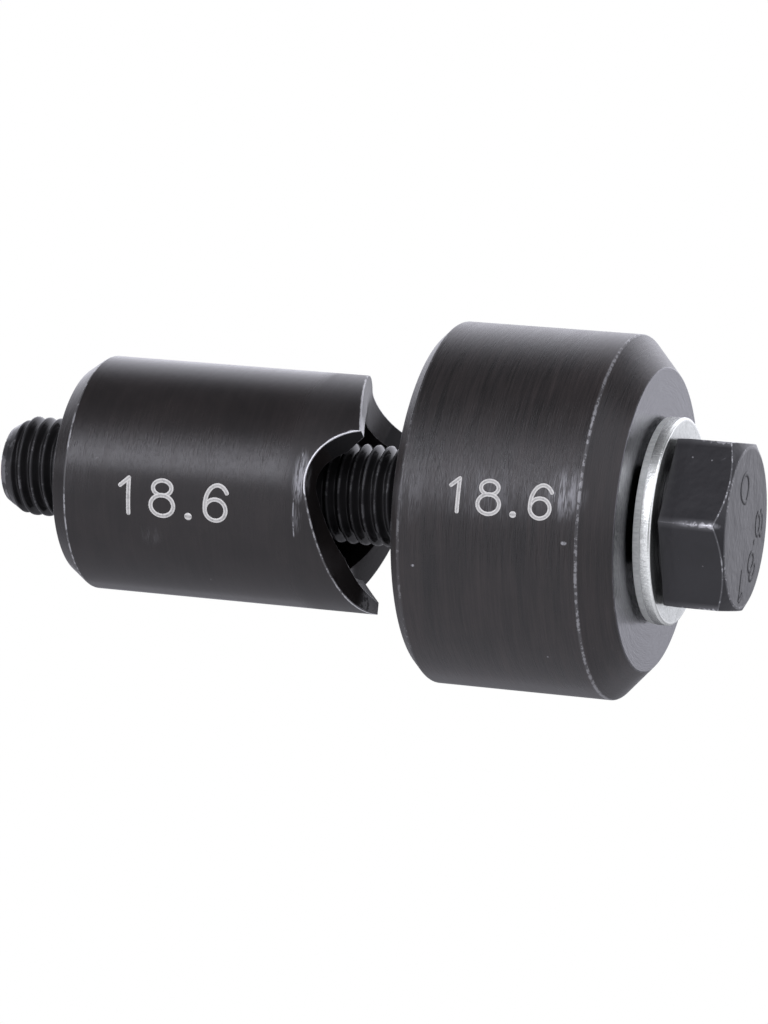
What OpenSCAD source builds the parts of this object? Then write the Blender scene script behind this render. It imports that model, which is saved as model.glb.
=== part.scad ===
// Screw-drawn knockout punch for sheet metal, standing on the head of its draw bolt.
// The bolt passes through a washer and the die and screws into the punch. Turning the bolt draws the
// toothed punch through the sheet and into the cup of the die.
// Lengths are in millimetres. +Z runs along the bolt from its head to its tip, z = 0 is the head's end face.

/* [Hole] */
// Diameter of the hole that the tool cuts, which is also the outside of the punch
hole_d = 18.6; // [17:0.1:26]

/* [Punch] */
// Length from the rear face to the tips of the teeth
punch_len = 25; // [21:0.5:32]
// Number of cutting teeth round the mouth
teeth = 3; // [2:1:4]
// Height of a tooth from its root to its tip
tooth_depth = 3.7; // [2:0.1:4.4]
// Radius of the rounded root behind each tooth
root_r = 4.5; // [4.4:0.1:6]
// Wall of the hollow cup behind the cutting edge
cup_wall = 2.6; // [2:0.1:3.8]
// Depth of the cup, from the tips to its floor
cup_depth = 11; // [8:0.5:14]
// Width of the cutting edge that the bevel in the mouth leaves at the tips
tip_land = 0.95; // [0.4:0.05:1.6]
// Length of the chamfer on the rear edge, along the axis
punch_chamfer_len = 1.4; // [0.4:0.1:3]
// Width of the chamfer on the rear edge, across the axis
punch_chamfer_w = 1; // [0.4:0.1:3]
// Countersink at each end of the tapped hole
tap_countersink = 0.5; // [0.2:0.1:1]
// Angle at which the root of the first tooth stands
punch_turn = 34; // [0:1:119]

/* [Die] */
// Overall length of the die
die_len = 17; // [13:0.5:24]
// Wall round the die's cup
die_wall = 4.7; // [3:0.1:8]
// Thickness of the floor that takes the pull of the bolt
die_floor = 5; // [3:0.5:8]
// Chamfer on the front edge, which meets the sheet
die_front_chamfer = 0.8; // [0.2:0.1:2]
// Length of the chamfer on the rear edge, along the axis
die_chamfer_len = 2.2; // [0.5:0.1:4]
// Width of the chamfer on the rear edge, across the axis
die_chamfer_w = 2.4; // [0.5:0.1:4]

/* [Draw bolt] */
// Outside diameter of the bolt's thread
bolt_d = 7.9; // [6:0.1:8.4]
// Length of the bolt under its head
bolt_len = 55.3; // [50:0.1:70]
// Chamfer on the bolt's tip
bolt_tip_chamfer = 0.9; // [0.3:0.1:1.5]
// Pitch of the bolt's thread
thread_pitch = 1; // [0.75:0.25:1.25]
// Depth of the bolt's thread, from its crest to its root
thread_depth = 0.6; // [0.4:0.05:0.7]
// Angle at which the thread starts
thread_turn = 76; // [0:1:359]
// Width of the hexagon across its flats
head_af = 12.8; // [12.4:0.1:17]
// Height of the head
head_h = 5.3; // [4:0.1:7]
// Diameter of the flat circle on the head's end face, inside the chamfered corners
head_flat_d = 12.3; // [10:0.1:12.3]
// Slope of the chamfer on the corners, from the end face
head_chamfer_angle = 30; // [15:1:45]
// Diameter of the thin seat turned under the head
seat_d = 11.6; // [10:0.1:12.3]
// Height of the thin seat under the head
seat_h = 0.3; // [0.2:0.05:0.6]
// Angle at which a corner of the head stands
head_turn = 29; // [0:1:59]

/* [Washer] */
// Outside diameter of the washer
washer_d = 16; // [14:0.1:20]
// Thickness of the washer
washer_t = 1.4; // [1:0.1:2.5]

/* [Fits] */
// Radial clearance between the bolt's thread and the tapped hole in the punch
thread_gap = 0.05; // [0.01:0.01:0.1]
// Radial clearance between the bolt and the plain holes in the die and the washer
bolt_gap = 0.3; // [0.2:0.05:0.6]
// Radial clearance between the punch and the die's cup
shear_gap = 0.1; // [0.05:0.01:0.3]
// Gap between the washer and the die before the bolt is tightened
washer_gap = 0.35; // [0.2:0.05:2]
// Gap between the die's mouth and the tips of the teeth before the bolt is tightened
mouth_gap = 4.8; // [4.2:0.1:10]

/* [Hidden] */
$fn = 96;

// Faces along the axis, from the bolt's head upwards
washer_z = head_h;
die_z = washer_z + washer_t + washer_gap;
die_front_z = die_z + die_len;
tip_z = die_front_z + mouth_gap;
punch_rear_z = tip_z + punch_len;
bolt_tip_z = head_h + bolt_len;

// Radii that the pieces share
bolt_r = bolt_d / 2;
plain_hole_r = bolt_r + bolt_gap;
tapped_hole_r = bolt_r + thread_gap;
punch_r = hole_d / 2;
cup_r = punch_r - cup_wall;
mouth_r = punch_r - tip_land;
die_cup_r = punch_r + shear_gap;
die_r = die_cup_r + die_wall;

// One tooth unrolled along the punch's outside: a round root of radius root_r, a steep flank up to the
// tip on one side of it, and a straight ramp down from the next tip on the other side.
tooth_pitch = 360 / teeth;
arc_per_degree = punch_r * PI / 180;
flank_run = sqrt(root_r * root_r - (root_r - tooth_depth) * (root_r - tooth_depth));
flank_angle = flank_run / arc_per_degree;
ramp_run = tooth_pitch * arc_per_degree - flank_run;
// Slope of the ramp, drawn from the tip as a tangent to the root's circle
ramp_slope = asin(root_r / norm([ramp_run, root_r - tooth_depth])) - atan((root_r - tooth_depth) / ramp_run);
// Steps on the flank's arc and on the ramp of each tooth
flank_steps = 20;
ramp_steps = 26;
// How far the tool that cuts the teeth reaches past the wall on each side
cutter_reach = 1;
// Flat sides of one turn of the thread
thread_steps = 16;

// Height of the root's circle above its lowest point, at a distance along the unrolled edge
function root_rise(run) = root_r - sqrt(max(0, root_r * root_r - run * run));

// Height of the ramp above the root, at a distance before the root's lowest point
function ramp_rise(run) = tooth_depth - (ramp_run - run) * tan(ramp_slope);

// Height of the cut edge above the root, at an angle from the root that is negative on the ramp
function edge_rise(angle) =
    let (run = abs(angle) * arc_per_degree)
    angle >= 0 ? root_rise(min(run, flank_run))
    : run < root_r * sin(ramp_slope) ? root_rise(run)
    : ramp_rise(run);

// Angles across one tooth, closer together up the steep flank
function tooth_angles() = [
    for (i = [0 : ramp_steps - 1]) (flank_angle - tooth_pitch) * (1 - i / ramp_steps),
    for (i = [0 : flank_steps - 1]) flank_angle * sin(90 * i / flank_steps)
];

// The space that is cut away in front of the teeth: a ring whose upper face is flat along each radius
module tooth_space() {
    angles = tooth_angles();
    per_tooth = len(angles);
    count = per_tooth * teeth;
    inner_r = cup_r - cutter_reach;
    outer_r = punch_r + cutter_reach;
    low_z = tip_z - 2 * cutter_reach;
    ring = [
        for (i = [0 : count - 1])
            let (a = angles[i % per_tooth], turn = a + punch_turn + tooth_pitch * floor(i / per_tooth),
                 top_z = tip_z + tooth_depth - edge_rise(a), x = cos(turn), y = sin(turn))
            [[inner_r * x, inner_r * y, top_z], [outer_r * x, outer_r * y, top_z],
             [outer_r * x, outer_r * y, low_z], [inner_r * x, inner_r * y, low_z]]
    ];
    points = [for (section = ring, point = section) point];
    faces = [
        for (i = [0 : count - 1])
            let (a = 4 * i, b = 4 * ((i + 1) % count))
            each [[a, b, b + 1], [a, b + 1, a + 1], [a + 1, b + 1, b + 2, a + 2],
                  [a + 2, b + 2, b + 3, a + 3], [a + 3, b + 3, b, a]]
    ];
    polyhedron(points, faces, convexity = 6);
}

// Hollow punch: tapped at the rear, a bevelled cup in front, and the teeth cut into the rim of the cup
module punch() {
    blank_z = tip_z - tip_land / 2;
    bevel = mouth_r - cup_r;
    color("dimgray")
    difference() {
        rotate_extrude()
            polygon([
                [tapped_hole_r, punch_rear_z - tap_countersink],
                [tapped_hole_r + tap_countersink, punch_rear_z],
                [punch_r - punch_chamfer_w, punch_rear_z],
                [punch_r, punch_rear_z - punch_chamfer_len],
                [punch_r, blank_z],
                [mouth_r + tip_land / 2, blank_z],
                [cup_r, tip_z + bevel],
                [cup_r, tip_z + cup_depth],
                [tapped_hole_r + tap_countersink, tip_z + cup_depth],
                [tapped_hole_r, tip_z + cup_depth + tap_countersink]
            ]);
        tooth_space();
    }
}

// Die: a thick-walled cup that takes the punch and the slug, with the bolt through its floor
module die() {
    color("dimgray")
    rotate_extrude()
        polygon([
            [plain_hole_r, die_z],
            [die_r - die_chamfer_w, die_z],
            [die_r, die_z + die_chamfer_len],
            [die_r, die_front_z - die_front_chamfer],
            [die_r - die_front_chamfer, die_front_z],
            [die_cup_r, die_front_z],
            [die_cup_r, die_z + die_floor],
            [plain_hole_r, die_z + die_floor]
        ]);
}

// Hexagon with its corners chamfered at the end face
module bolt_head() {
    corner_r = head_af / 2 / cos(30);
    blank_r = corner_r + head_h;
    intersection() {
        rotate([0, 0, head_turn])
            cylinder(h = head_h - seat_h, r = corner_r, $fn = 6);
        // The seam of the turned cone stands halfway between a corner and the middle of a flat
        rotate([0, 0, head_turn + 15])
            rotate_extrude()
                polygon([
                    [0, 0],
                    [head_flat_d / 2, 0],
                    [blank_r, (blank_r - head_flat_d / 2) * tan(head_chamfer_angle)],
                    [blank_r, 3 * head_h],
                    [0, 3 * head_h]
                ]);
    }
}

// Bar with a right-hand thread, from inside the head to past the bolt's tip. One root line and the two lines
// of a narrow crest run up a helix, and a fan of triangles round the axis closes each end.
module threaded_bar() {
    groove_r = bolt_r - thread_depth;
    crest = thread_pitch / 16;
    low_z = head_h / 2;
    turns = ceil((bolt_tip_z - low_z) / thread_pitch) + 1;
    last = turns * thread_steps;
    high_z = low_z + (turns + 1) * thread_pitch;
    lines = [[groove_r, 0], [bolt_r, thread_pitch / 2 - crest], [bolt_r, thread_pitch / 2 + crest]];
    points = [
        for (i = [0 : last + thread_steps], line = lines)
            let (turn = 360 * i / thread_steps)
            [line[0] * cos(turn), line[0] * sin(turn), low_z + thread_pitch * i / thread_steps + line[1]],
        [0, 0, low_z],
        [0, 0, high_z]
    ];
    low = len(points) - 2;
    high = len(points) - 1;
    pitch = 3 * thread_steps;
    top = 3 * last;
    faces = [
        for (i = [0 : last - 1], side = [[0, 1], [1, 2], [2, pitch]])
            let (a = 3 * i + side[0], b = 3 * i + side[1])
            each [[a, b, a + 3], [b, b + 3, a + 3]],
        for (i = [0 : thread_steps - 1])
            each [[3 * i, 3 * i + 3, low], [top + 3 * i + 3, top + 3 * i, high]],
        [1, 0, low], [2, 1, low], [pitch, 2, low],
        [top, top + 1, high], [top + 1, top + 2, high], [top + 2, top + pitch, high]
    ];
    polyhedron(points, faces, convexity = 10);
}

// Draw bolt: the head, a thin turned seat under it and a shank that is threaded over its whole length
module draw_bolt() {
    color("slategray")
    union() {
        bolt_head();
        translate([0, 0, head_h / 2])
            cylinder(h = head_h / 2, r = seat_d / 2);
        // The tip is cut square and its thread is chamfered
        intersection() {
            rotate([0, 0, thread_turn])
                threaded_bar();
            rotate_extrude()
                polygon([
                    [0, 0],
                    [2 * bolt_r, 0],
                    [2 * bolt_r, bolt_tip_z - bolt_tip_chamfer - bolt_r],
                    [bolt_r - bolt_tip_chamfer, bolt_tip_z],
                    [0, bolt_tip_z]
                ]);
        }
    }
}

// Plain washer between the bolt's head and the die
module washer() {
    color("gainsboro")
    translate([0, 0, washer_z])
    difference() {
        cylinder(h = washer_t, r = washer_d / 2);
        translate([0, 0, -washer_t])
            cylinder(h = 3 * washer_t, r = plain_hole_r);
    }
}

punch();
die();
draw_bolt();
washer();
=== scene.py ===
"""Dressed model of a screw-drawn knockout punch: skins, finishes, studio light and camera.

Lengths in the classes are millimetres. The tool stands on the head of its draw bolt, with +Z along the bolt.
The picture shows it lying down: the top of the picture is +X, its right is -Z, and it is seen from -Y.
"""

import logging
from collections.abc import Callable, Sequence
from dataclasses import dataclass, field
from enum import Enum
from functools import reduce

import bmesh
import bpy
import numpy as np
from mathutils import Matrix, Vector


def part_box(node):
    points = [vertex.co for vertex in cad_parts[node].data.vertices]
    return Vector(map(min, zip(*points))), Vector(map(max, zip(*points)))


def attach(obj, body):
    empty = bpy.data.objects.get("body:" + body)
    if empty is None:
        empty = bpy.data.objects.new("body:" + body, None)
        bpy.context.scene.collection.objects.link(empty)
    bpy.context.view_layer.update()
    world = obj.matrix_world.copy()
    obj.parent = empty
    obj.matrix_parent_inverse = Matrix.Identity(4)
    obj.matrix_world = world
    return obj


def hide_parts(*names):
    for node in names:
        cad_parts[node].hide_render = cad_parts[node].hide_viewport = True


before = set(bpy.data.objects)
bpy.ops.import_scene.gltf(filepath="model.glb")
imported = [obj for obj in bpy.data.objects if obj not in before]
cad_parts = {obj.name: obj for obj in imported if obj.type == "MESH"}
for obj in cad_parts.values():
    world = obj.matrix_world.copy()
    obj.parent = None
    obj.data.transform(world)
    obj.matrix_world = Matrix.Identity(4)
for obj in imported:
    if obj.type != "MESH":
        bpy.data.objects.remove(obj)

Array = np.ndarray
Number = float | np.ndarray
Colour = tuple[float, float, float]
Socket = bpy.types.NodeSocket
Value = Socket | float | Sequence[float]
Place = Callable[[Array, Array, Array], Array]

MM = 0.001
CORNER_POINTS = 5
ARC_POINTS = 72
LINE_POINTS = 12
log = logging.getLogger("knockout_punch")


class Part(Enum):
    """The four pieces of the tool, by the name that their solid and their body share."""

    PUNCH = "punch"
    DIE = "die"
    BOLT = "draw_bolt"
    WASHER = "washer"


class Mask(Enum):
    """Values from 0 to 1 that a skin carries at its points for its finish to read."""

    EDGE = "edge"
    # Cup and steep tooth flanks, where the finish paints shade over a duller coat.
    INSIDE = "inside"


@dataclass
class Envelope:
    """Outer radius and ends of a solid at rest."""

    radius: float
    low: float
    high: float

    @classmethod
    def of(cls, part: Part) -> "Envelope":
        """Reads the box of a part's solid from the frame.

        Args:
            part: the piece to measure.

        Returns:
            Its largest reach from the axis and its two ends along the axis, in millimetres.
        """
        low, high = (np.array(corner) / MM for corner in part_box(part.value))
        reach = max(np.abs(low[:2]).max(), np.abs(high[:2]).max())
        return cls(*(round(float(size), 3) for size in (reach, low[2], high[2])))


# Surfaces


@dataclass
class Surface:
    """A mesh that is still a set of arrays: points in millimetres, quads and the masks of the points."""

    points: Array
    faces: Array
    masks: dict[Mask, Array] = field(default_factory=dict)

    @classmethod
    def join(cls, surfaces: "list[Surface]") -> "Surface":
        """Puts several surfaces with the same masks into one.

        Args:
            surfaces: the surfaces, in order.

        Returns:
            One surface that holds all their points and faces.
        """
        starts = np.cumsum([0] + [len(each.points) for each in surfaces[:-1]])
        return cls(
            np.concatenate([each.points for each in surfaces]),
            np.concatenate([each.faces + start for each, start in zip(surfaces, starts)]),
            {mask: np.concatenate([each.masks[mask] for each in surfaces]) for mask in surfaces[0].masks},
        )

    def piece(self, name: str, closed: bool = True) -> bpy.types.Object:
        """Writes the arrays into a mesh object at the origin, shaded smooth and sealed if it is closed.

        Args:
            name: the name of the object and of its mesh.
            closed: whether the surface closes round a solid.

        Returns:
            The new object, linked to the scene.
        """
        mesh = bpy.data.meshes.new(name)
        mesh.vertices.add(len(self.points))
        mesh.vertices.foreach_set("co", (self.points * MM).astype(np.float32).ravel())
        mesh.loops.add(self.faces.size)
        mesh.loops.foreach_set("vertex_index", self.faces.astype(np.int32).ravel())
        mesh.polygons.add(len(self.faces))
        mesh.polygons.foreach_set("loop_start", np.arange(0, self.faces.size, 4, dtype=np.int32))
        for mask, values in self.masks.items():
            layer = mesh.attributes.new(mask.value, "FLOAT", "POINT")
            layer.data.foreach_set("value", values.astype(np.float32).ravel())
        mesh.update(calc_edges=True)
        if closed:
            seal(mesh)
        mesh.shade_smooth()
        made = bpy.data.objects.new(name, mesh)
        bpy.context.scene.collection.objects.link(made)
        return made


def seal(mesh: bpy.types.Mesh) -> None:
    """Merges the points of seams and poles and turns the faces outwards.

    Args:
        mesh: a closed mesh, which is changed in place.
    """
    merge_distance = 1e-7
    shell = bmesh.new()
    shell.from_mesh(mesh)
    bmesh.ops.remove_doubles(shell, verts=shell.verts, dist=merge_distance)
    bmesh.ops.recalc_face_normals(shell, faces=shell.faces)
    shell.to_mesh(mesh)
    shell.free()


def grid_faces(rows: int, columns: int, close_rows: bool, close_columns: bool) -> Array:
    """Quads between neighbouring points of a grid that is stored row by row.

    Args:
        rows: number of rows.
        columns: number of points in a row.
        close_rows: whether the last row joins the first.
        close_columns: whether the last point of a row joins its first.

    Returns:
        Array of four indices for each quad.
    """
    row = np.arange(rows if close_rows else rows - 1)[:, None]
    column = np.arange(columns if close_columns else columns - 1)[None, :]
    here, above = row * columns, (row + 1) % rows * columns
    beside = (column + 1) % columns
    return np.stack([here + column, here + beside, above + beside, above + column], axis=-1).reshape(-1, 4)


@dataclass
class Corner:
    """A corner of a turned profile. Each size is one number, or an array with one value for each angle.

    wear says how bright the corner is worn, and stretch lengthens the rounding on the side of the previous
    and of the next corner.
    """

    r: Number
    z: Number
    rounding: float = 0.05
    wear: Number = 0.0
    stretch: tuple[Number, Number] = (1.0, 1.0)


def round_profile(corners: list[Corner], columns: int, fade: float, poles: bool) -> tuple[Array, Array]:
    """Rows of a profile whose corners are rounded and marked as edges.

    Each corner becomes a parabola between two points that lie a setback away from it on both sides. Its edge
    mask is the corner's wear on the parabola, and falls straight to 0 over the fade on both sides. Neither
    takes up more than nearly half of the way to the next corner.

    Args:
        corners: the corners in order round the section.
        columns: number of angles.
        fade: distance over which the edge mask falls to 0.
        poles: whether the profile starts and ends on the axis. Otherwise it is a closed loop.

    Returns:
        Radius and height of each point, as (rows, columns, 2), and its edge mask, as (rows, columns).
    """
    def spread(values: list[Number]) -> Array:
        """One row of values for each corner."""
        return np.stack([np.broadcast_to(value, columns) for value in values])

    tips = np.stack([spread([c.r for c in corners]), spread([c.z for c in corners])], axis=-1)
    rounding = np.array([c.rounding for c in corners])[:, None]
    most_setback, most_reach = 0.4, 0.48
    starts, ends = [], []
    for side, shift in enumerate((1, -1)):
        way = np.roll(tips, shift, axis=0) - tips
        length = np.maximum(np.linalg.norm(way, axis=-1), 1e-9)
        stretch = spread([c.stretch[side] for c in corners])
        setback = np.minimum(rounding * stretch, most_setback * length)
        reach = np.minimum(setback + fade * stretch, most_reach * length)
        starts.append(tips + way * (setback / length)[..., None])
        ends.append(tips + way * (reach / length)[..., None])
    t = np.linspace(0.0, 1.0, CORNER_POINTS)[None, :, None, None]
    arcs = (1 - t) ** 2 * starts[0][:, None] + 2 * t * (1 - t) * tips[:, None] + t**2 * starts[1][:, None]
    rows = np.concatenate([ends[0][:, None], arcs, ends[1][:, None]], axis=1)
    edge = np.zeros(rows.shape[:3])
    edge[:, 1:-1] = spread([c.wear for c in corners])[:, None]
    rows, edge = rows.reshape(-1, columns, 2), edge.reshape(-1, columns)
    return (rows[CORNER_POINTS:-CORNER_POINTS], edge[CORNER_POINTS:-CORNER_POINTS]) if poles else (rows, edge)


def revolve(rows: Array, angles: Array) -> Array:
    """Carries a profile round the axis: x = r cos(angle), y = r sin(angle).

    Args:
        rows: radius and height of each point, as (rows, columns, 2).
        angles: angle of each column, in radians.

    Returns:
        Points, as (rows * columns, 3).
    """
    r, z = rows[..., 0], rows[..., 1]
    return np.stack([r * np.cos(angles), r * np.sin(angles), z], axis=-1).reshape(-1, 3)


def swept(rows: Array, angles: Array, masks: dict[Mask, Array], close_rows: bool = True) -> Surface:
    """A profile that is carried once round the axis.

    Args:
        rows: radius and height of each point, as (rows, columns, 2).
        angles: angle of each column, in radians.
        masks: the masks of the points, as (rows, columns).
        close_rows: whether the profile is a closed loop.

    Returns:
        The surface.
    """
    faces = grid_faces(len(rows), len(angles), close_rows, True)
    return Surface(revolve(rows, angles), faces, masks)


def turned_surface(corners: list[Corner], angles: Array, fade: float) -> Surface:
    """A turned solid with rounded, worn corners.

    Args:
        corners: the corners of its profile.
        angles: angles of the columns, in radians.
        fade: distance over which the wear at a corner ends.

    Returns:
        The surface with its edge mask.
    """
    rows, edge = round_profile(corners, len(angles), fade, poles=False)
    return swept(rows, angles, {Mask.EDGE: edge})


def full_turn(columns: int) -> Array:
    """Evenly spaced angles once round the axis, in radians."""
    return np.linspace(0.0, 2 * np.pi, columns, endpoint=False)


# Marks


@dataclass
class Stroke:
    """Centre line of one stroke of a numeral, in units of the numeral's height."""

    path: Array
    closed: bool = False


def arc(centre: tuple[float, float], radii: tuple[float, float], start: float, end: float) -> Array:
    """Points of an ellipse: x = cx + rx cos(t), y = cy + ry sin(t).

    Args:
        centre: its middle.
        radii: its half width and half height.
        start: the angle t of its first point, in degrees.
        end: the angle t of its last point, in degrees, which a full turn leaves out.

    Returns:
        The points in order.
    """
    full = end - start >= 360.0
    t = np.radians(np.linspace(start, end, ARC_POINTS, endpoint=not full))
    return np.array(centre) + np.array(radii) * np.stack([np.cos(t), np.sin(t)], axis=-1)


def line(start: tuple[float, float], end: tuple[float, float]) -> Array:
    """Points of a straight stroke from start to end."""
    return np.linspace(start, end, LINE_POINTS)


class Numeral(Enum):
    """Plain numerals as strokes with round ends."""

    ZERO = "0"
    ONE = "1"
    SIX = "6"
    EIGHT = "8"
    POINT = "."

    def strokes(self) -> list[Stroke]:
        """The strokes of this numeral, with its foot at height 0 and its top at height 1.

        Returns:
            The strokes in the order in which they are cut.
        """
        if self is Numeral.ZERO:
            return [Stroke(arc((0.0, 0.5), (0.32, 0.5), 0.0, 360.0), closed=True)]
        if self is Numeral.ONE:
            return [Stroke(line((0.0, 0.0), (0.0, 1.0))), Stroke(line((-0.25, 0.78), (0.0, 1.0)))]
        if self is Numeral.SIX:
            bowl = arc((0.0, 0.3), (0.31, 0.3), 0.0, 360.0)
            tail = arc((0.06, 0.4), (0.37, 0.6), 188.0, 42.0)
            return [Stroke(bowl, closed=True), Stroke(tail)]
        if self is Numeral.EIGHT:
            upper = arc((0.0, 0.79), (0.275, 0.21), 0.0, 360.0)
            lower = arc((0.0, 0.295), (0.34, 0.295), 0.0, 360.0)
            return [Stroke(upper, closed=True), Stroke(lower, closed=True)]
        return [Stroke(line((0.0, 0.05), (0.01, 0.05)))]


@dataclass(frozen=True)
class SizeMark:
    """A row of numerals cut into a surface by light, as flat strokes that lie on it.

    Each stroke is a flat bar carried along its centre line. At an open end the bar's half width falls as
    the cosine of the angle of a half circle, so that the end is round. Each numeral has its place along the
    row. The bars stand out of the surface by the lift, more by layer_lift for each stroke that is cut later,
    and reach into it by the sink.
    """

    letters: tuple[tuple[Numeral, float], ...]
    height: float
    half_width: float
    point_half_width: float
    lift: float = 0.012
    layer_lift: float = 0.0036
    sink: float = 0.03

    def stroke_surface(
        self, stroke: Stroke, offset: float, half_width: float, lift: float, place: Place
    ) -> Surface:
        """One stroke, laid on its surface.

        Args:
            stroke: the centre line.
            offset: distance of the numeral along the row.
            half_width: half of the stroke's width.
            lift: height of the stroke above the surface.
            place: turns distances along, up and out of the row into points of the part.

        Returns:
            The stroke as a closed bar, with an edge mask that is 0 on its centre line.
        """
        path = stroke.path * self.height + np.array([offset, 0.0])
        width = np.full(len(path), half_width)
        if not stroke.closed:
            turn = np.radians(np.linspace(88.0, 10.0, 7))
            first, last = path[0] - path[1], path[-1] - path[-2]
            first, last = first / np.linalg.norm(first), last / np.linalg.norm(last)
            head = path[0] + np.outer(np.sin(turn), first) * half_width
            tail = path[-1] + np.outer(np.sin(turn[::-1]), last) * half_width
            path = np.concatenate([head, path, tail])
            width = np.concatenate([np.cos(turn) * half_width, width, np.cos(turn[::-1]) * half_width])
        if stroke.closed:
            along = np.roll(path, -1, axis=0) - np.roll(path, 1, axis=0)
        else:
            along = np.gradient(path, axis=0)
        along /= np.linalg.norm(along, axis=1, keepdims=True)
        across = np.stack([-along[:, 1], along[:, 0]], axis=-1) * width[:, None]
        side = np.array([-1.0, -1.0, 0.0, 1.0, 1.0])[:, None, None]
        out = np.array([-self.sink, lift, lift, lift, -self.sink])[:, None] * np.ones(len(path))
        flat = path[None] + side * across[None]
        points = place(flat[..., 0], flat[..., 1], out).reshape(-1, 3)
        edge = np.broadcast_to(np.abs(side[..., 0]), out.shape)
        faces = grid_faces(len(side), len(path), True, stroke.closed)
        return Surface(points, faces, {Mask.EDGE: edge.ravel()})

    def surface(self, place: Place) -> Surface:
        """All strokes of the row, each a hair above the one before it where they cross.

        Args:
            place: turns distances along, up and out of the row into points of the part.

        Returns:
            The row of numerals as one surface.
        """
        bars = []
        for numeral, offset in self.letters:
            half_width = self.point_half_width if numeral is Numeral.POINT else self.half_width
            for layer, stroke in enumerate(numeral.strokes()):
                lift = self.lift + layer * self.layer_lift
                bars.append(self.stroke_surface(stroke, offset, half_width, lift, place))
        return Surface.join(bars)


def on_cylinder(radius: float, start_z: float, foot: float) -> Place:
    """A place on a cylinder that faces the camera: along is towards -Z, up is round towards +X.

    Args:
        radius: radius of the cylinder.
        start_z: height at which the row starts.
        foot: distance round the cylinder from its nearest line to the foot of the row.

    Returns:
        The function that lays points out there.
    """
    def place(along: Array, up: Array, out: Array) -> Array:
        """Angle = distance round / radius, z = start - distance along."""
        angle, reach = (foot + up) / radius, radius + out
        return np.stack([reach * np.sin(angle), -reach * np.cos(angle), start_z - along], axis=-1)

    return place


def on_end_face(radius: float, start_angle: float) -> Place:
    """A place on the end face at z = 0, round a circle, with the feet of the row towards the axis.

    Args:
        radius: radius of the circle that the row stands on.
        start_angle: angle at which the row starts, in radians.

    Returns:
        The function that lays points out there.
    """
    def place(along: Array, up: Array, out: Array) -> Array:
        """Angle = start + distance along / radius, and up is away from the axis."""
        angle, reach = start_angle + along / radius, radius + up
        return np.stack([reach * np.cos(angle), reach * np.sin(angle), -out], axis=-1)

    return place


# Shader nodes


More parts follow.
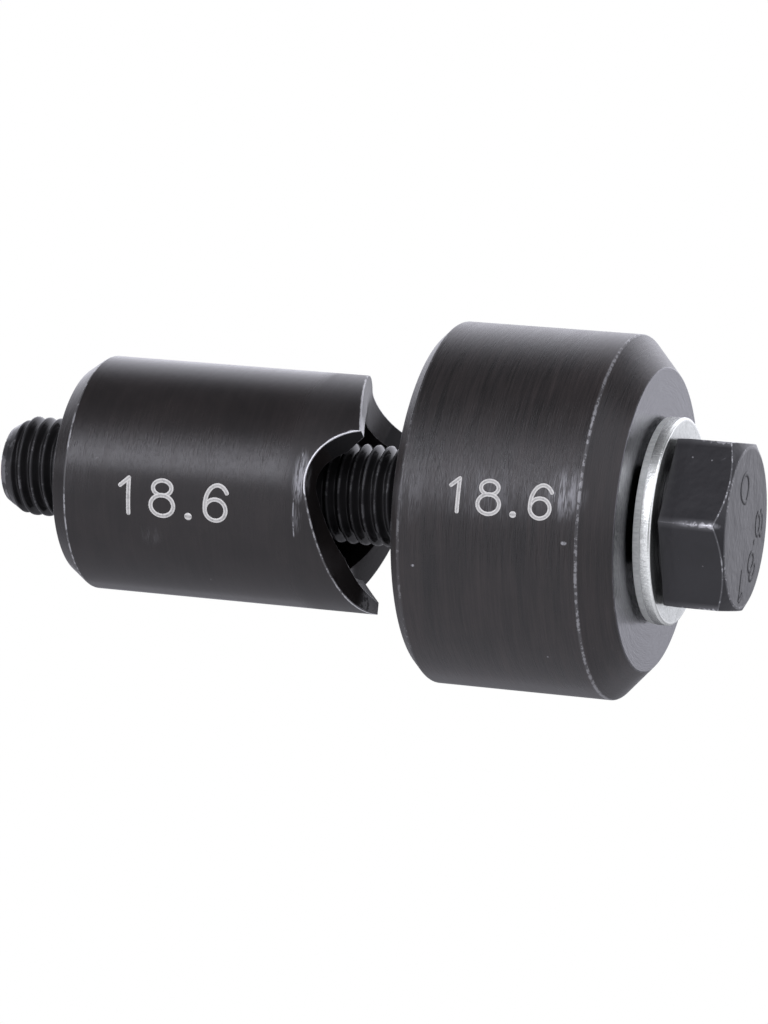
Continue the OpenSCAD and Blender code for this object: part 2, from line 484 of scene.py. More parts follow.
class Net:
    """A node tree that is written one node at a time."""

    def __init__(self, tree: bpy.types.NodeTree) -> None:
        """Keeps the tree that the nodes go into."""
        self.tree = tree

    def feed(self, socket: Socket, value: Value) -> None:
        """Links a socket to another one, or sets its value.

        Args:
            socket: the input to feed.
            value: the output that it is linked to, or a plain value.
        """
        if isinstance(value, bpy.types.NodeSocket):
            self.tree.links.new(value, socket)
        else:
            socket.default_value = value

    def node(self, kind: str, inputs: dict[str, Value] | None = None, **settings: object) -> bpy.types.Node:
        """Adds a node.

        Args:
            kind: the node's type.
            inputs: sockets or values for its inputs, by name.
            **settings: values of its own properties.

        Returns:
            The node.
        """
        made = self.tree.nodes.new(kind)
        for name, setting in settings.items():
            setattr(made, name, setting)
        for name, value in (inputs or {}).items():
            self.feed(made.inputs[name], value)
        return made

    def operate(self, kind: str, operation: str, values: Sequence[Value]) -> bpy.types.Node:
        """Adds a Math or a Vector Math node.

        Args:
            kind: the node's type.
            operation: what it does.
            values: sockets or values for its inputs, in order.

        Returns:
            The node.
        """
        made = self.node(kind, operation=operation)
        for socket, value in zip(made.inputs, values):
            self.feed(socket, value)
        return made

    def math(self, operation: str, *values: Value) -> Socket:
        """The result of a Math node."""
        return self.operate("ShaderNodeMath", operation, values).outputs[0]

    def vector(self, operation: str, *values: Value) -> Socket:
        """The result of a Vector Math node: a number for LENGTH and DOT_PRODUCT, or else a vector."""
        made = self.operate("ShaderNodeVectorMath", operation, values)
        return made.outputs["Value" if operation in ("LENGTH", "DOT_PRODUCT") else "Vector"]

    def times(self, *values: Value) -> Socket:
        """The product of all values."""
        return reduce(lambda first, second: self.math("MULTIPLY", first, second), values)

    def strongest(self, *masks: Value) -> Socket:
        """The largest of all masks."""
        return reduce(lambda first, second: self.math("MAXIMUM", first, second), masks)

    def total(self, first: Value, *parts: tuple[Value, float]) -> Socket:
        """A first value plus each further value times its weight."""
        return reduce(lambda so_far, part: self.math("MULTIPLY_ADD", *part, so_far), parts, first)

    def rest(self, share: Value) -> Socket:
        """What a share leaves of 1."""
        return self.math("SUBTRACT", 1.0, share)

    def centred(self, noise: Value) -> Socket:
        """A noise whose mean of 0.5 is moved to 0."""
        return self.math("SUBTRACT", noise, 0.5)

    def parts(self, vector: Value) -> tuple[Socket, Socket, Socket]:
        """The x, y and z of a vector."""
        return tuple(self.node("ShaderNodeSeparateXYZ", {"Vector": vector}).outputs)

    def axis_distance(self, x: Socket, y: Socket) -> Socket:
        """Distance from the tool's axis: the square root of x squared plus y squared."""
        return self.math("SQRT", self.math("ADD", self.times(x, x), self.times(y, y)))

    def smooth(self, value: Value, low: Value, high: Value) -> Socket:
        """A smooth step from 0 at low to 1 at high."""
        inputs = {"Value": value, "From Min": low, "From Max": high}
        return self.node("ShaderNodeMapRange", inputs, interpolation_type="SMOOTHSTEP").outputs["Result"]

    def blend(self, factor: Value, first: Value, second: Value) -> Socket:
        """A mix of two colours.

        Args:
            factor: share of the second colour.
            first: a socket or a plain colour.
            second: a socket or a plain colour.

        Returns:
            The mixed colour.
        """
        made = self.node("ShaderNodeMix", data_type="RGBA")
        colours = [socket for socket in made.inputs if socket.type == "RGBA"]
        self.feed(made.inputs[0], factor)
        for socket, value in zip(colours, (first, second)):
            self.feed(socket, value if isinstance(value, bpy.types.NodeSocket) else (*value, 1.0))
        return next(socket for socket in made.outputs if socket.type == "RGBA")

    def noise(self, vector: Value, scale: Value, detail: float = 2.0, **others: Value) -> Socket:
        """A Noise texture, four-dimensional if it gets a W.

        Args:
            vector: the coordinates.
            scale: its frequency.
            detail: how many finer layers it has.
            **others: sockets or values for other inputs, by name.

        Returns:
            Its grey value.
        """
        inputs = {"Vector": vector, "Scale": scale, "Detail": detail, **others}
        dimensions = "4D" if "W" in others else "3D"
        return self.node("ShaderNodeTexNoise", inputs, noise_dimensions=dimensions).outputs[0]

    def effect(self, group: bpy.types.NodeTree, **inputs: Value) -> Socket:
        """The output of a shared group, with its inputs given by name."""
        return self.node("ShaderNodeGroup", inputs, node_tree=group).outputs[0]

    def bump(self, shader: bpy.types.Node, height: Value, depth: float) -> None:
        """Roughens a shader's surface by a height, whose unit is the depth in millimetres."""
        made = self.node("ShaderNodeBump", {"Height": height, "Distance": depth * MM, "Strength": 1.0})
        self.feed(shader.inputs["Normal"], made.outputs[0])


def new_group(
    name: str, vectors: Sequence[str], values: Sequence[str], output: str
) -> tuple[Net, dict[str, Socket], Socket]:
    """An empty shader group with named sockets.

    Args:
        name: the group's name.
        vectors: names of its vector inputs.
        values: names of its inputs that are plain values.
        output: name of its output, a plain value.

    Returns:
        The group's net, its inputs by name and the socket of its output.
    """
    tree = bpy.data.node_groups.new(name, "ShaderNodeTree")
    for kind, keys in (("NodeSocketVector", vectors), ("NodeSocketFloat", values)):
        for key in keys:
            tree.interface.new_socket(name=key, in_out="INPUT", socket_type=kind)
    tree.interface.new_socket(name=output, in_out="OUTPUT", socket_type="NodeSocketFloat")
    net = Net(tree)
    source = net.node("NodeGroupInput")
    given = {key: source.outputs[key] for key in (*vectors, *values)}
    return net, given, net.node("NodeGroupOutput").inputs[output]


def turning_group() -> bpy.types.NodeTree:
    """Marks of the lathe tool: a noise that is fine along and across the axis and long round it.

    Returns:
        A group that gives the height of the marks, from their spacing in millimetres and the sweep, which
        is larger the shorter the marks are.
    """
    net, given, out = new_group("turning_marks", ("Vector",), ("Spacing", "Sweep"), "Height")
    x, y, z = net.parts(given["Vector"])
    radius = net.axis_distance(x, y)
    pitch = net.times(given["Spacing"], MM)
    across, along = (net.math("DIVIDE", distance, pitch) for distance in (radius, z))
    turn_x, turn_y = (net.times(net.math("DIVIDE", side, radius), given["Sweep"]) for side in (x, y))
    spot = net.node("ShaderNodeCombineXYZ", {"X": across, "Y": along, "Z": turn_x}).outputs[0]
    fine = net.noise(spot, 1.0, 2.0, W=turn_y)
    coarse = net.noise(spot, 0.23, 1.0, W=turn_y)
    net.feed(out, net.total(net.times(fine, 0.6), (coarse, 0.4)))
    return net.tree


def wear_group() -> bpy.types.NodeTree:
    """Bare metal on worn edges: the edge mask plus a noise, cut off at a level that wanders along the edge.

    Returns:
        A group that gives a mask of the bare places, as strong as the edge mask, and weaker between them.
    """
    net, given, out = new_group("edge_wear", ("Vector",), ("Edge", "Scale", "Level"), "Mask")
    grain = net.noise(given["Vector"], given["Scale"], 4.0, Roughness=0.65)
    slow = net.noise(given["Vector"], net.times(given["Scale"], 0.13))
    ragged = net.total(given["Edge"], (net.centred(grain), 2.4), (net.centred(slow), 1.3))
    bare = net.smooth(ragged, given["Level"], net.math("ADD", given["Level"], 0.2))
    net.feed(out, net.times(net.math("MULTIPLY_ADD", bare, 0.78, 0.22), given["Edge"]))
    return net.tree


def rub_group() -> bpy.types.NodeTree:
    """A rubbed patch: 1 at its middle, falling smoothly to 0 at the distance of its reach along each axis.

    Returns:
        A group that gives a mask of the patch.
    """
    net, given, out = new_group("rubbed_patch", ("Vector", "Centre", "Reach"), (), "Mask")
    off = net.vector("DIVIDE", net.vector("SUBTRACT", given["Vector"], given["Centre"]), given["Reach"])
    net.feed(out, net.smooth(net.vector("LENGTH", off), 1.0, 0.1))
    return net.tree


def speck_group() -> bpy.types.NodeTree:
    """Specks of dust: a dot at the middle of a few cells of a Voronoi texture, each of its own size.

    Returns:
        A group that gives a mask of the specks.
    """
    net, given, out = new_group("specks", ("Vector",), ("Spacing", "Size", "Share"), "Mask")
    scale = net.math("DIVIDE", 1.0, net.times(given["Spacing"], MM))
    cells = net.node("ShaderNodeTexVoronoi", {"Vector": given["Vector"], "Scale": scale})
    red, green, _blue = net.node("ShaderNodeSeparateColor", {"Color": cells.outputs["Color"]}).outputs
    size = net.times(given["Size"], net.math("MULTIPLY_ADD", green, 0.8, 0.4))
    inside = net.smooth(cells.outputs["Distance"], size, net.times(size, 0.4))
    net.feed(out, net.times(inside, net.math("LESS_THAN", red, given["Share"])))
    return net.tree


def hairline_group() -> bpy.types.NodeTree:
    """Hairline scratches: the thin zero line of a bent noise, kept only where a second noise is high.

    Returns:
        A group that gives a mask of the scratches.
    """
    net, given, out = new_group("hairlines", ("Vector",), ("Scale", "Width", "Level"), "Mask")
    off = net.math("ABSOLUTE", net.centred(net.noise(given["Vector"], given["Scale"], 0.0)))
    thin = net.smooth(off, given["Width"], net.times(given["Width"], 0.3))
    patch = net.noise(given["Vector"], net.times(given["Scale"], 1.7), 3.0, Roughness=0.7)
    kept = net.smooth(patch, given["Level"], net.math("ADD", given["Level"], 0.08))
    net.feed(out, net.times(thin, kept))
    return net.tree


@dataclass(frozen=True)
class Effects:
    """The node groups that several finishes share."""

    turning: bpy.types.NodeTree
    wear: bpy.types.NodeTree
    rub: bpy.types.NodeTree
    specks: bpy.types.NodeTree
    hairlines: bpy.types.NodeTree

    @classmethod
    def build(cls) -> "Effects":
        """Builds each group once."""
        return cls(turning_group(), wear_group(), rub_group(), speck_group(), hairline_group())


def new_material(name: str) -> tuple[bpy.types.Material, Net, bpy.types.Node, Socket]:
    """A material with an empty tree, a Principled shader and Object coordinates.

    Args:
        name: the material's name.

    Returns:
        The material, its net, its shader node and the socket of its coordinates.
    """
    material = bpy.data.materials.new(name)
    material.use_nodes = True
    material.node_tree.nodes.clear()
    net = Net(material.node_tree)
    shader = net.node("ShaderNodeBsdfPrincipled")
    output = net.node("ShaderNodeOutputMaterial")
    net.feed(output.inputs["Surface"], shader.outputs[0])
    return material, net, shader, net.node("ShaderNodeTexCoord").outputs["Object"]


def mask_socket(net: Net, mask: Mask) -> Socket:
    """The value of a mask at the shaded point."""
    return net.node("ShaderNodeAttribute", attribute_name=mask.value).outputs["Fac"]


def stretched(net: Net, vector: Socket, scale: Sequence[float], turn: float) -> Socket:
    """Coordinates that are turned about Y, in degrees, and then stretched."""
    turned = net.node("ShaderNodeMapping", {"Vector": vector, "Rotation": (0.0, np.radians(turn), 0.0)})
    return net.node("ShaderNodeMapping", {"Vector": turned.outputs[0], "Scale": scale}).outputs[0]


@dataclass(frozen=True)
class Rub:
    """A patch whose tool marks are rubbed pale: its middle and its reach along x, y and z, in millimetres."""

    centre: tuple[float, float, float]
    reach: tuple[float, float, float]
    strength: float


@dataclass(frozen=True)
class ScribedLine:
    """A scratched line round the axis at one height, on the camera's side between two places along x."""

    z: float
    low_x: float
    high_x: float
    half_width: float = 0.07
    core: float = 0.02
    fade: float = 0.3
    strength: float = 0.9

    def mask(self, net: Net, x: Socket, z: Socket) -> Socket:
        """The line as a product of smooth steps: thin along z, and fading out at its two ends along x.

        Args:
            net: the material's net.
            x: the first coordinate.
            z: the height.

        Returns:
            How much of the line is drawn at each point.
        """
        off = net.math("ABSOLUTE", net.math("SUBTRACT", z, self.z * MM))
        thin = net.smooth(off, self.half_width * MM, self.core * MM)
        from_low = net.smooth(x, self.low_x * MM, (self.low_x + self.fade) * MM)
        to_high = net.smooth(x, self.high_x * MM, (self.high_x - self.fade) * MM)
        return net.times(thin, from_low, to_high, self.strength)


@dataclass(frozen=True)
class BlackOxide:
    """Black oxide on steel: a dark satin coat with tool marks, dust, hairlines and bare bright edges.

    Distances are millimetres. The tool marks change the tone by their contrast and the surface by their
    depth. Flecks, which are finer and shorter marks, change the surface by a depth of their own and are what
    a rub makes pale. Clouds of the given strength lighten the coat and dent it. Where the inside mask is set,
    the coat is rougher and takes a dark colour at half metal. This is partly a duller coat and partly painted
    shade. The coat is also duller below matte_below, where that is set. ground_z, where it is set, is the
    height of a ground end face that the coat covers thinly.
    """

    name: str
    tone: Colour
    roughness: float
    specular: float
    mark_spacing: float
    mark_depth: float
    mark_contrast: float
    cloud: float
    wear_level: float
    wear_scale: float
    fleck_depth: float = 0.0
    speck_share: float = 0.04
    hairline_level: float = 0.7
    dents: float = 0.0
    matte_below: float | None = None
    ground_z: float | None = None
    rubs: tuple[Rub, ...] = ()
    lines: tuple[ScribedLine, ...] = ()
    tone_shares: tuple[float, float] = (0.35, 3.0)
    mark_sweep: float = 4.0
    fleck_sweep: float = 14.0
    fleck_share: float = 0.6
    cloud_scale: float = 160.0
    matte_fade: float = 0.9
    matte_roughness: float = 0.16
    ground_roughness: float = 0.22
    steel: Colour = (0.62, 0.62, 0.63)
    dust: Colour = (0.3, 0.3, 0.31)
    ground: Colour = (0.135, 0.135, 0.145)
    # Painted shade, partly a duller coat: the colour that the inside mask gives the cup and the tooth flanks.
    inside_coat_and_shade: Colour = (0.014, 0.0137, 0.014)

    def material(self, effects: Effects) -> bpy.types.Material:
        """Builds the finish.

        Args:
            effects: the shared node groups.

        Returns:
            The material.
        """
        material, net, shader, spot = new_material(self.name)
        fleck_spacing = self.fleck_share * self.mark_spacing
        marks = net.effect(effects.turning, Vector=spot, Spacing=self.mark_spacing, Sweep=self.mark_sweep)
        flecks = net.effect(effects.turning, Vector=spot, Spacing=fleck_spacing, Sweep=self.fleck_sweep)
        edge, inside = (mask_socket(net, mask) for mask in (Mask.EDGE, Mask.INSIDE))
        bare = net.effect(effects.wear, Vector=spot, Edge=edge, Scale=self.wear_scale, Level=self.wear_level)
        clouds = net.noise(spot, self.cloud_scale, 4.0, Roughness=0.65)
        pale = self.pale_places(net, effects, spot, net.smooth(flecks, 0.47, 0.57))
        lined = net.centred(marks)
        shade = net.total(net.times(clouds, self.cloud), (lined, self.mark_contrast))
        dark, light = (tuple(channel * share for channel in self.tone) for share in self.tone_shares)
        colour = net.blend(net.smooth(shade, -0.1, 1.0), dark, light)
        # Painted shade, partly a duller coat: the inside mask turns the cup and the tooth flanks dark, half
        # metallic and rougher.
        colour = net.blend(inside, net.blend(pale, colour, self.dust), self.inside_coat_and_shade)
        rough = net.total(self.roughness - 0.09, (clouds, 0.1), (lined, 0.15), (pale, 0.15), (inside, 0.25))
        metal = net.strongest(bare, net.times(inside, 0.5))
        _x, _y, height = net.parts(spot)
        if self.matte_below is not None:
            ragged = net.total(height, (net.centred(clouds), 0.5 * MM))
            start, full = ((self.matte_below + side * self.matte_fade) * MM for side in (1, -1))
            rough = net.total(rough, (net.smooth(ragged, start, full), self.matte_roughness))
        if self.ground_z is not None:
            face = net.smooth(height, (self.ground_z + 0.06) * MM, (self.ground_z + 0.02) * MM)
            colour = net.blend(face, colour, self.ground)
            metal = net.strongest(face, metal)
            rough = net.total(rough, (face, self.ground_roughness - self.roughness))
        net.feed(shader.inputs["Base Color"], net.blend(bare, colour, self.steel))
        net.feed(shader.inputs["Metallic"], metal)
        net.feed(shader.inputs["Roughness"], rough)
        shader.inputs["Specular IOR Level"].default_value = self.specular
        flecked = (flecks, self.fleck_depth / self.mark_depth)
        relief = net.total(marks, (pale, 0.3), (bare, -0.6), (clouds, self.dents), flecked)
        net.bump(shader, relief, self.mark_depth)
        return material

    def pale_places(self, net: Net, effects: Effects, spot: Socket, streaks: Socket) -> Socket:
        """A mask of dust, hairlines, rubbed patches and scribed lines.

        Args:
            net: the material's net.
            effects: the shared node groups.
            spot: the coordinates.
            streaks: the flecks that a rub makes pale.

        Returns:
            The strongest of them at each point.
        """
        specks = net.effect(effects.specks, Vector=spot, Spacing=1.1, Size=0.08, Share=self.speck_share)
        slanted = stretched(net, spot, (1.0, 1.0, 0.35), 25.0)
        level = self.hairline_level
        hairs = net.effect(effects.hairlines, Vector=slanted, Scale=420.0, Width=0.01, Level=level)
        pale = [net.times(specks, 0.7), net.times(hairs, 0.25)]
        streaked = net.math("MULTIPLY_ADD", streaks, 0.9, 0.1)
        for rub in self.rubs:
            centre, reach = (tuple(size * MM for size in sizes) for sizes in (rub.centre, rub.reach))
            patch = net.effect(effects.rub, Vector=spot, Centre=centre, Reach=reach)
            pale.append(net.times(patch, streaked, rub.strength))
        if self.lines:
            broken = net.smooth(net.noise(spot, 900.0, 3.0, Roughness=0.7), 0.42, 0.56)
            x, y, z = net.parts(spot)
            drawn = net.times(broken, net.math("LESS_THAN", y, 0.0))
            wavy = net.total(z, (net.centred(net.noise(spot, 500.0)), 0.12 * MM))
            pale += [net.times(scribed.mask(net, x, wavy), drawn) for scribed in self.lines]
        return net.strongest(*pale)


@dataclass(frozen=True)
class BrightZinc:
    """Bright zinc plating on a punched washer: a silvery rim with a torn band, and duller grained faces."""

    name: str
    rim_radius: float
    tone: Colour = (0.92, 0.94, 0.89)
    dull: Colour = (0.52, 0.54, 0.51)
    grain_depth: float = 0.02

    def material(self, effects: Effects) -> bpy.types.Material:
        """Builds the finish.

        Args:
            effects: the shared node groups.

        Returns:
            The material.
        """
        material, net, shader, spot = new_material(self.name)
        torn = mask_socket(net, Mask.EDGE)
        radius = net.axis_distance(*net.parts(spot)[:2])
        on_rim = net.smooth(radius, (self.rim_radius - 0.35) * MM, (self.rim_radius - 0.15) * MM)
        shear = net.noise(stretched(net, spot, (1.0, 1.0, 0.2), 0.0), 6500.0, 3.0, Roughness=0.6)
        grain = net.noise(spot, 5200.0, 3.0, Roughness=0.75)
        blotch = net.noise(spot, 700.0, 3.0, Roughness=0.6)
        texture = net.total(grain, (net.times(net.math("SUBTRACT", shear, grain), on_rim), 1.0))
        specks = net.effect(effects.specks, Vector=spot, Spacing=0.6, Size=0.12, Share=0.1)
        stripes = net.smooth(net.total(shear, (blotch, 0.5)), 0.6, 0.95)
        striped = net.times(torn, net.math("MULTIPLY_ADD", stripes, 0.5, 0.2))
        grained = net.times(net.smooth(net.total(grain, (blotch, 0.4)), 0.6, 0.9), 0.36)
        grained = net.total(grained, (net.rest(on_rim), 0.55))
        soiled = net.strongest(striped, grained, net.times(specks, 0.4))
        net.feed(shader.inputs["Base Color"], net.blend(soiled, self.tone, self.dull))
        net.feed(shader.inputs["Metallic"], net.math("MULTIPLY_ADD", torn, -0.6, 1.0))
        net.feed(shader.inputs["Roughness"], net.total(0.11, (texture, 0.14), (blotch, 0.1), (torn, 0.1)))
        net.bump(shader, texture, self.grain_depth)
        return material


@dataclass(frozen=True)
class EtchedMark:
    """A mark in a blackened surface: fine grained, with a fainter line along the middle of each stroke."""

    name: str
    tone: Colour
    core: Colour
    roughness: float
    grain_scale: float = 5200.0
    grain_depth: float = 0.004

    def material(self) -> bpy.types.Material:
        """Builds the finish.

        Returns:
            The material.
        """
        material, net, shader, spot = new_material(self.name)
        middle = net.smooth(mask_socket(net, Mask.EDGE), 0.6, 0.2)
        grain = net.noise(spot, self.grain_scale)
        patchy = net.total(net.times(middle, 0.7), (net.smooth(grain, 0.5, 0.7), 0.35))
        net.feed(shader.inputs["Base Color"], net.blend(patchy, self.tone, self.core))
        net.feed(shader.inputs["Roughness"], net.total(self.roughness, (grain, 0.15)))
        net.bump(shader, grain, self.grain_depth)
        return material


def dress(piece: bpy.types.Object, part: Part, material: bpy.types.Material, replaces: bool) -> None:
    """Gives a piece its finish and body, hides the part's solid where the piece stands for it, and reports
    it.

    Args:
        piece: the new object.
        part: the part whose body it rides on.
        material: its finish.
        replaces: whether it stands for the part's solid.
    """
    piece.data.materials.append(material)
    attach(piece, part.value)
    if replaces:
        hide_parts(part.value)
    log.info("%s: %d faces, rides on %s", piece.name, len(piece.data.polygons), part.value)


# Sub-assemblies


@dataclass
class CuttingEdge:
    """The punch's cutting edge, with one value for each angle in radians.

    length is the length of edge for each unit round, worn says how bright the edge is, and tip_worn how
    bright the land behind it is.
    """

    angles: Array
    height: Array
    length: Array
    worn: Array
    tip_worn: Array


@dataclass
class Punch:
    """Hollow punch: a turned cup with a tapped rear, whose rim is cut into saw-shaped teeth."""

    teeth: int = 3
    tooth_depth: float = 3.7
    root_radius: float = 4.5
    turn: float = 34.0
    wall: float = 2.6
    cup_depth: float = 11.0
    tip_land: float = 0.95
    tapped_radius: float = 4.0
    countersink: float = 0.5
    chamfer_length: float = 1.4
    chamfer_width: float = 1.0
    edge_fade: float = 0.06
    longest_edge: float = 6.0
    size: Envelope = field(default_factory=lambda: Envelope.of(Part.PUNCH))
    mark: SizeMark = SizeMark(
        ((Numeral.ONE, 0.0), (Numeral.EIGHT, 2.82), (Numeral.POINT, 4.98), (Numeral.SIX, 7.25)),
        height=2.78, half_width=0.17, point_half_width=0.29,
    )
    mark_z: float = 47.02
    mark_foot: float = -3.08

    def cutting_edge(self) -> CuttingEdge:
        """The cutting edge round the punch, unrolled along its outside.

        Each tooth has a round root, a flank that follows the root's circle up to the tip, and a straight
        ramp that is tangent to the circle on the other side. With run counted from the root, and negative on
        the ramp, rise = R - sqrt(R^2 - run^2) on the circle and depth - (ramp + run) tan(slope) on the ramp.
        The edge is worn most at the root, on the flank and at the tip, and least half up the ramp, and its
        land is worn near the tip alone.

        Returns:
            The edge of all teeth.
        """
        pitch = 2 * np.pi / self.teeth
        radius, root, depth = self.size.radius, self.root_radius, self.tooth_depth
        flank = np.sqrt(root**2 - (root - depth) ** 2)
        ramp = pitch * radius - flank
        slope = np.arcsin(root / np.hypot(ramp, root - depth)) - np.arctan((root - depth) / ramp)
        tangent = -root * np.sin(slope)
        near_tip, past_tip = np.array([0.03, 0.1, 0.25]), 0.5
        ramp_points, root_points, flank_points = 44, 10, 40
        quarter = np.linspace(0.0, np.pi / 2, flank_points)[:-1]
        run = np.concatenate([
            -ramp, -ramp + near_tip, np.linspace(-ramp + past_tip, tangent, ramp_points),
            np.linspace(tangent, 0.0, root_points)[1:-1],
            flank * np.sin(quarter), flank - near_tip[1::-1] * 0.02,
        ], axis=None)
        on_circle = run > tangent
        safe = np.where(on_circle, run, 0.0)
        circle = np.sqrt(root**2 - safe**2)
        rise = np.where(on_circle, root - circle, depth - (ramp + run) * np.tan(slope))
        steep = np.where(on_circle, np.abs(safe) / circle, np.tan(slope))
        climbed = np.clip(2 * rise / depth - 1, 0.0, 1.0)
        worn = np.where(on_circle, 0.85, 0.4 + 0.6 * climbed)
        tip_worn = np.where(on_circle, 0.0, np.clip(2.4 * climbed - 1.4, 0.0, 1.0))
        length = np.minimum(np.hypot(1.0, steep), self.longest_edge)
        starts = np.radians(self.turn) + pitch * np.arange(self.teeth)
        return CuttingEdge(
            np.add.outer(starts, run / radius).ravel(),
            *(np.tile(each, self.teeth) for each in (self.size.low + depth - rise, length, worn, tip_worn)),
        )

    def build(self) -> Surface:
        """The whole punch as one profile that follows the cutting edge round the axis.

        Returns:
            The surface, with the cup and the steep flanks of the teeth as its inside mask, where the finish
            paints shade over a duller coat.
        """
        cut, size = self.cutting_edge(), self.size
        cup_radius = size.radius - self.wall
        bevel = size.radius - self.tip_land - cup_radius
        floor_z = size.low + self.cup_depth
        sink_radius = self.tapped_radius + self.countersink
        land_radius = np.maximum(cup_radius, cup_radius + bevel - (cut.height - size.low))
        bevel_end = np.maximum(size.low + bevel, cut.height + 0.15)
        corners = [
            Corner(sink_radius, floor_z),
            Corner(cup_radius, floor_z, 0.4),
            Corner(cup_radius, bevel_end),
            Corner(land_radius, cut.height, 0.04, 0.3),
            Corner(size.radius, cut.height, 0.04, cut.worn, (1.5, 1.8 * cut.length)),
            Corner(size.radius, size.high - self.chamfer_length, 0.06, 0.4),
            Corner(size.radius - self.chamfer_width, size.high, 0.06, 0.2),
            Corner(sink_radius, size.high, 0.05, 0.15),
            Corner(self.tapped_radius, size.high - self.countersink),
            Corner(self.tapped_radius, floor_z + self.countersink),
        ]
        rows, edge = round_profile(corners, len(cut.angles), self.edge_fade, poles=False)
        r, z = rows[..., 0], rows[..., 1]
        touch, cup_margin, steep_length = 0.02, 0.03, 1.3
        on_land = (np.abs(z - cut.height) < touch) & (r > land_radius + touch)
        edge = np.maximum(edge, np.where(on_land, cut.tip_worn, 0.0))
        in_cup = (r < land_radius - cup_margin) & (z < floor_z + 0.1)
        # The steep flanks join the inside mask, so that their finish paints them in shade.
        on_flank = (cut.length > steep_length) & (z < cut.height + 0.05)
        return swept(rows, cut.angles, {Mask.EDGE: edge, Mask.INSIDE: in_cup | on_flank})

    def dress(self, effects: Effects, mark: bpy.types.Material) -> None:
        """Builds and finishes the punch and its size mark.

        Args:
            effects: the shared node groups.
            mark: the finish of the mark.
        """
        finish = BlackOxide(
            "punch_black_oxide", (0.0084, 0.0066, 0.0062), roughness=0.24, specular=0.42,
            mark_spacing=0.13, mark_depth=0.0008, mark_contrast=0.5, fleck_depth=0.02,
            cloud=0.8, wear_level=0.34, wear_scale=1500.0, matte_below=34.05, steel=(0.86, 0.86, 0.87),
            rubs=(
                Rub((0.9, -9.2, 32.95), (2.6, 2.0, 0.8), 1.2),
                Rub((-2.2, -9.0, 33.1), (1.6, 2.0, 0.6), 0.25),
                Rub((-4.6, -8.1, 45.3), (1.0, 3.0, 1.2), 0.1),
                Rub((0.0, -9.3, 51.5), (3.0, 2.0, 2.2), 0.04),
            ),
            lines=(ScribedLine(33.05, -0.7, 2.9), ScribedLine(33.35, -3.9, -0.6)),
        )
        dress(self.build().piece("punch_skin"), Part.PUNCH, finish.material(effects), True)
        place = on_cylinder(self.size.radius, self.mark_z, self.mark_foot)
        dress(self.mark.surface(place).piece("punch_size_mark"), Part.PUNCH, mark, False)


@dataclass
class Die:
    """Thick-walled turned cup that the punch is drawn into."""

    wall: float = 4.7
    floor: float = 5.0
    hole_radius: float = 4.25
    front_chamfer: float = 0.8
    rear_chamfer_length: float = 2.2
    rear_chamfer_width: float = 2.4
    columns: int = 288
    edge_fade: float = 0.12
    size: Envelope = field(default_factory=lambda: Envelope.of(Part.DIE))
    mark: SizeMark = SizeMark(
        ((Numeral.ONE, 0.24), (Numeral.EIGHT, 2.65), (Numeral.POINT, 4.6), (Numeral.SIX, 6.66)),
        height=2.48, half_width=0.155, point_half_width=0.25,
    )
    mark_z: float = 18.87
    mark_foot: float = -0.66

    def build(self) -> Surface:
        """The die as one turned profile.

        Returns:
            The surface.
        """
        size = self.size
        cup_radius = size.radius - self.wall
        floor_z = size.low + self.floor
        corners = [
            Corner(self.hole_radius, size.low, 0.15, 0.15),
            Corner(size.radius - self.rear_chamfer_width, size.low, 0.06, 0.12),
            Corner(size.radius, size.low + self.rear_chamfer_length, 0.07, 0.38),
            Corner(size.radius, size.high - self.front_chamfer, 0.08, 0.2),
            Corner(size.radius - self.front_chamfer, size.high, 0.06, 0.2),
            Corner(cup_radius, size.high, 0.05, 0.5),
            Corner(cup_radius, floor_z, 0.4),
            Corner(self.hole_radius, floor_z, 0.15),
        ]
        return turned_surface(corners, full_turn(self.columns), self.edge_fade)

    def dress(self, effects: Effects, mark: bpy.types.Material) -> None:
        """Builds and finishes the die and its size mark.

        Args:
            effects: the shared node groups.
            mark: the finish of the mark.
        """
        finish = BlackOxide(
            "die_black_oxide", (0.0095, 0.0072, 0.0066), roughness=0.33, specular=0.5,
            mark_spacing=0.14, mark_depth=0.0026, mark_contrast=1.4, fleck_depth=0.04,
            cloud=0.7, wear_level=0.26, wear_scale=2600.0, ground_z=self.size.low,
            rubs=(
                Rub((1.3, -14.0, 10.4), (2.4, 3.0, 1.9), 0.85),
                Rub((0.8, -14.1, 16.5), (2.8, 3.0, 7.0), 0.18),
                Rub((0.6, -14.1, 22.6), (3.2, 3.0, 2.0), 0.2),
                Rub((-2.33, -13.9, 10.2), (0.17, 0.6, 0.28), 6.0),
                Rub((-5.0, -13.2, 22.0), (0.12, 0.6, 0.18), 5.0),
            ),
        )
        dress(self.build().piece("die_skin"), Part.DIE, finish.material(effects), True)
        place = on_cylinder(self.size.radius, self.mark_z, self.mark_foot)
        dress(self.mark.surface(place).piece("die_size_mark"), Part.DIE, mark, False)


@dataclass(frozen=True)
class HeadMark:
    """A mark on the bolt's end face, its distance from the axis and its angle in degrees."""

    mark: SizeMark
    radius: float
    angle: float


